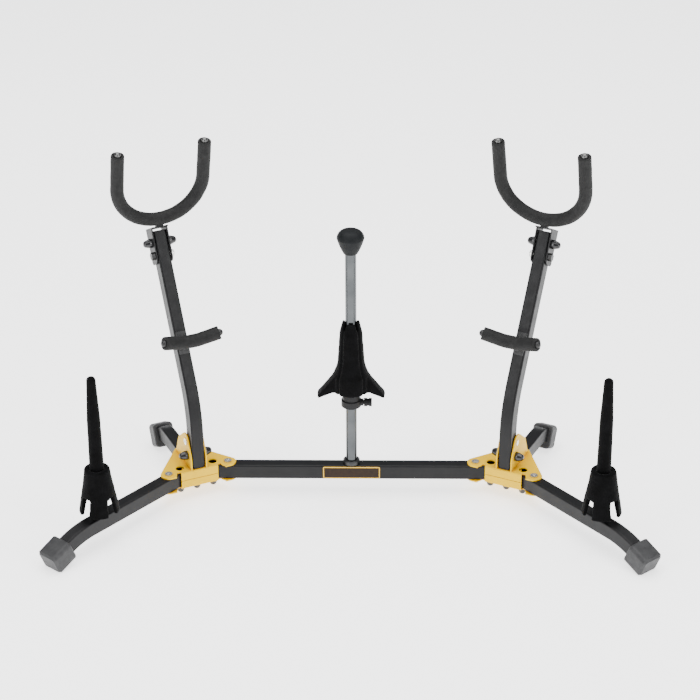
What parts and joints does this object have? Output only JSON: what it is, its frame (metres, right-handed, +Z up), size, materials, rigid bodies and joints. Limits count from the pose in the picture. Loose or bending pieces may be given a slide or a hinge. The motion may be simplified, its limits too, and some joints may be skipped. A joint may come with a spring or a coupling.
{
  "type": "double saxophone stand",
  "caption": "Folding floor stand that cradles an alto or tenor saxophone on each side, with pegs for a soprano saxophone, flutes and clarinets",
  "frame": {"origin": "on the floor, under the middle of the bounding box", "axes": "X runs along the centre bar to the stand's right as seen from the front, Y points to the rear, Z is up; the front, where the player stands, is -Y"},
  "size_m": [0.6842, 0.3006, 0.4121],
  "materials": {
    "black_tube": "satin black powder coat",
    "yellow_plate": "satin yellow powder coat",
    "black_plate": "satin black powder coat",
    "zinc": "bright zinc plate",
    "chrome": "polished chrome plate",
    "black_steel": "black oxide",
    "button_plastic": "smooth moulded",
    "rubber": "moulded matt rubber",
    "foam": "fine closed-cell foam",
    "velvet": "black flock velvet",
    "plug_plastic": "moulded",
    "knob_plastic": "moulded, fine matt",
    "plate_print": "dark brown lacquer with a gold edge"
  },
  "bodies": {
    "bar_unit": {"centre_bar": "black_tube", "name_plate": "plate_print", "soprano_post": "chrome", "post_base_nut": "black_steel", "soprano_knob": "knob_plastic"},
    "bell_cone": {"soprano_cone": "velvet", "cone_collar": "plug_plastic"},
    "cone_screw": {"thumb_screw": "button_plastic"},
    "hub_left": {"hub_top_plate_left": "yellow_plate", "hub_bottom_plate_left": "yellow_plate", "hub_rivets_left": "zinc"},
    "front_leg_left": {"front_leg_tube_left": "black_tube", "front_foot_left": "rubber"},
    "flute_peg_left": {"flute_post_left": "velvet", "flute_cone_left": "velvet"},
    "rear_leg_left": {"rear_leg_tube_left": "black_tube", "rear_foot_left": "rubber"},
    "arm_left": {"arm_tube_left": "black_tube", "arm_foot_plug_left": "plug_plastic", "lower_rest_frame_left": "black_steel", "lower_rest_foam_left": "foam"},
    "yoke_left": {"yoke_bracket_left": "black_plate", "yoke_pivot_bolt_left": "zinc", "yoke_pivot_nut_left": "black_steel", "yoke_rod_left": "black_steel", "yoke_foam_left": "foam"},
    "front_leg_button_left": {"front_leg_button_left": "button_plastic"},
    "bar_button_left": {"bar_button_left": "button_plastic"},
    "rear_leg_button_left": {"rear_leg_button_left": "button_plastic"},
    "arm_button_outer_left": {"arm_button_outer_left": "button_plastic"},
    "arm_button_inner_left": {"arm_button_inner_left": "button_plastic"},
    "yoke_button_outer_left": {"yoke_button_outer_left": "button_plastic"},
    "yoke_button_inner_left": {"yoke_button_inner_left": "button_plastic"},
    "hub_right": {"hub_top_plate_right": "yellow_plate", "hub_bottom_plate_right": "yellow_plate", "hub_rivets_right": "zinc"},
    "front_leg_right": {"front_leg_tube_right": "black_tube", "front_foot_right": "rubber"},
    "flute_peg_right": {"flute_post_right": "velvet", "flute_cone_right": "velvet"},
    "rear_leg_right": {"rear_leg_tube_right": "black_tube", "rear_foot_right": "rubber"},
    "arm_right": {"arm_tube_right": "black_tube", "arm_foot_plug_right": "plug_plastic", "lower_rest_frame_right": "black_steel", "lower_rest_foam_right": "foam"},
    "yoke_right": {"yoke_bracket_right": "black_plate", "yoke_pivot_bolt_right": "zinc", "yoke_pivot_nut_right": "black_steel", "yoke_rod_right": "black_steel", "yoke_foam_right": "foam"},
    "front_leg_button_right": {"front_leg_button_right": "button_plastic"},
    "bar_button_right": {"bar_button_right": "button_plastic"},
    "rear_leg_button_right": {"rear_leg_button_right": "button_plastic"},
    "arm_button_outer_right": {"arm_button_outer_right": "button_plastic"},
    "arm_button_inner_right": {"arm_button_inner_right": "button_plastic"},
    "yoke_button_outer_right": {"yoke_button_outer_right": "button_plastic"},
    "yoke_button_inner_right": {"yoke_button_inner_right": "button_plastic"}
  },
  "joints": [
    {"name": "soprano_cone_slide", "type": "slide", "parent": "bar_unit", "child": "bell_cone", "axis": [0, 0, 1], "range_m": [-0.065, 0.07]},
    {"name": "cone_screw_turn", "type": "hinge", "parent": "bell_cone", "child": "cone_screw", "pos_m": [0.0145, 0.03421, 0.1175], "axis": [1, 0, 0], "continuous": true},
    {"name": "hub_left_fold", "type": "hinge", "parent": "bar_unit", "child": "hub_left", "pos_m": [-0.144, 0.03421, 0.0275], "axis": [0, 0, 1], "range_deg": [0, 90]},
    {"name": "front_leg_left_fold", "type": "hinge", "parent": "hub_left", "child": "front_leg_left", "pos_m": [-0.21016, 0.00336, 0.0275], "axis": [0, 0, -1], "range_deg": [-90, 0]},
    {"name": "rear_leg_left_pull", "type": "slide", "parent": "hub_left", "child": "rear_leg_left", "axis": [-0.4226, 0.9063, 0], "range_m": [0, 0.04]},
    {"name": "arm_left_fold", "type": "hinge", "parent": "hub_left", "child": "arm_left", "pos_m": [-0.18215, 0.02966, 0.0695], "axis": [-0.9063, -0.4226, 0], "range_deg": [0, 60]},
    {"name": "yoke_left_fold", "type": "hinge", "parent": "arm_left", "child": "yoke_left", "pos_m": [-0.21531, 0.10076, 0.27233], "axis": [0.9063, 0.4226, 0], "range_deg": [0, 110]},
    {"name": "flute_peg_left_lift", "type": "slide", "parent": "front_leg_left", "child": "flute_peg_left", "axis": [0, 0, 1], "range_m": [0, 0.015]},
    {"name": "front_leg_button_left_press", "type": "slide", "parent": "hub_left", "child": "front_leg_button_left", "axis": [0, 0, 1], "range_m": [0, 0.003], "stiffness_N_per_m": 600},
    {"name": "bar_button_left_press", "type": "slide", "parent": "hub_left", "child": "bar_button_left", "axis": [0, 0, -1], "range_m": [-0.003, 0], "stiffness_N_per_m": 600},
    {"name": "rear_leg_button_left_press", "type": "slide", "parent": "hub_left", "child": "rear_leg_button_left", "axis": [0, 0, -1], "range_m": [-0.003, 0], "stiffness_N_per_m": 600},
    {"name": "arm_button_outer_left_press", "type": "slide", "parent": "hub_left", "child": "arm_button_outer_left", "axis": [-0.9063, -0.4226, 0], "range_m": [-0.003, 0], "stiffness_N_per_m": 600},
    {"name": "arm_button_inner_left_press", "type": "slide", "parent": "hub_left", "child": "arm_button_inner_left", "axis": [0.9063, 0.4226, 0], "range_m": [-0.003, 0], "stiffness_N_per_m": 600},
    {"name": "yoke_button_outer_left_press", "type": "slide", "parent": "yoke_left", "child": "yoke_button_outer_left", "axis": [-0.9063, -0.4226, 0], "range_m": [-0.003, 0], "stiffness_N_per_m": 600},
    {"name": "yoke_button_inner_left_press", "type": "slide", "parent": "yoke_left", "child": "yoke_button_inner_left", "axis": [0.9063, 0.4226, 0], "range_m": [-0.003, 0], "stiffness_N_per_m": 600},
    {"name": "hub_right_fold", "type": "hinge", "parent": "bar_unit", "child": "hub_right", "pos_m": [0.144, 0.03421, 0.0275], "axis": [0, 0, 1], "range_deg": [-90, 0]},
    {"name": "front_leg_right_fold", "type": "hinge", "parent": "hub_right", "child": "front_leg_right", "pos_m": [0.21016, 0.00336, 0.0275], "axis": [0, 0, -1], "range_deg": [0, 90]},
    {"name": "rear_leg_right_pull", "type": "slide", "parent": "hub_right", "child": "rear_leg_right", "axis": [0.4226, 0.9063, 0], "range_m": [0, 0.04]},
    {"name": "arm_right_fold", "type": "hinge", "parent": "hub_right", "child": "arm_right", "pos_m": [0.18215, 0.02966, 0.0695], "axis": [-0.9063, 0.4226, 0], "range_deg": [0, 60]},
    {"name": "yoke_right_fold", "type": "hinge", "parent": "arm_right", "child": "yoke_right", "pos_m": [0.21531, 0.10076, 0.27233], "axis": [0.9063, -0.4226, 0], "range_deg": [0, 110]},
    {"name": "flute_peg_right_lift", "type": "slide", "parent": "front_leg_right", "child": "flute_peg_right", "axis": [0, 0, 1], "range_m": [0, 0.015]},
    {"name": "front_leg_button_right_press", "type": "slide", "parent": "hub_right", "child": "front_leg_button_right", "axis": [0, 0, -1], "range_m": [-0.003, 0], "stiffness_N_per_m": 600},
    {"name": "bar_button_right_press", "type": "slide", "parent": "hub_right", "child": "bar_button_right", "axis": [0, 0, 1], "range_m": [0, 0.003], "stiffness_N_per_m": 600},
    {"name": "rear_leg_button_right_press", "type": "slide", "parent": "hub_right", "child": "rear_leg_button_right", "axis": [0, 0, -1], "range_m": [-0.003, 0], "stiffness_N_per_m": 600},
    {"name": "arm_button_outer_right_press", "type": "slide", "parent": "hub_right", "child": "arm_button_outer_right", "axis": [0.9063, -0.4226, 0], "range_m": [-0.003, 0], "stiffness_N_per_m": 600},
    {"name": "arm_button_inner_right_press", "type": "slide", "parent": "hub_right", "child": "arm_button_inner_right", "axis": [-0.9063, 0.4226, 0], "range_m": [-0.003, 0], "stiffness_N_per_m": 600},
    {"name": "yoke_button_outer_right_press", "type": "slide", "parent": "yoke_right", "child": "yoke_button_outer_right", "axis": [0.9063, -0.4226, 0], "range_m": [-0.003, 0], "stiffness_N_per_m": 600},
    {"name": "yoke_button_inner_right_press", "type": "slide", "parent": "yoke_right", "child": "yoke_button_inner_right", "axis": [-0.9063, 0.4226, 0], "range_m": [-0.003, 0], "stiffness_N_per_m": 600}
  ]
}
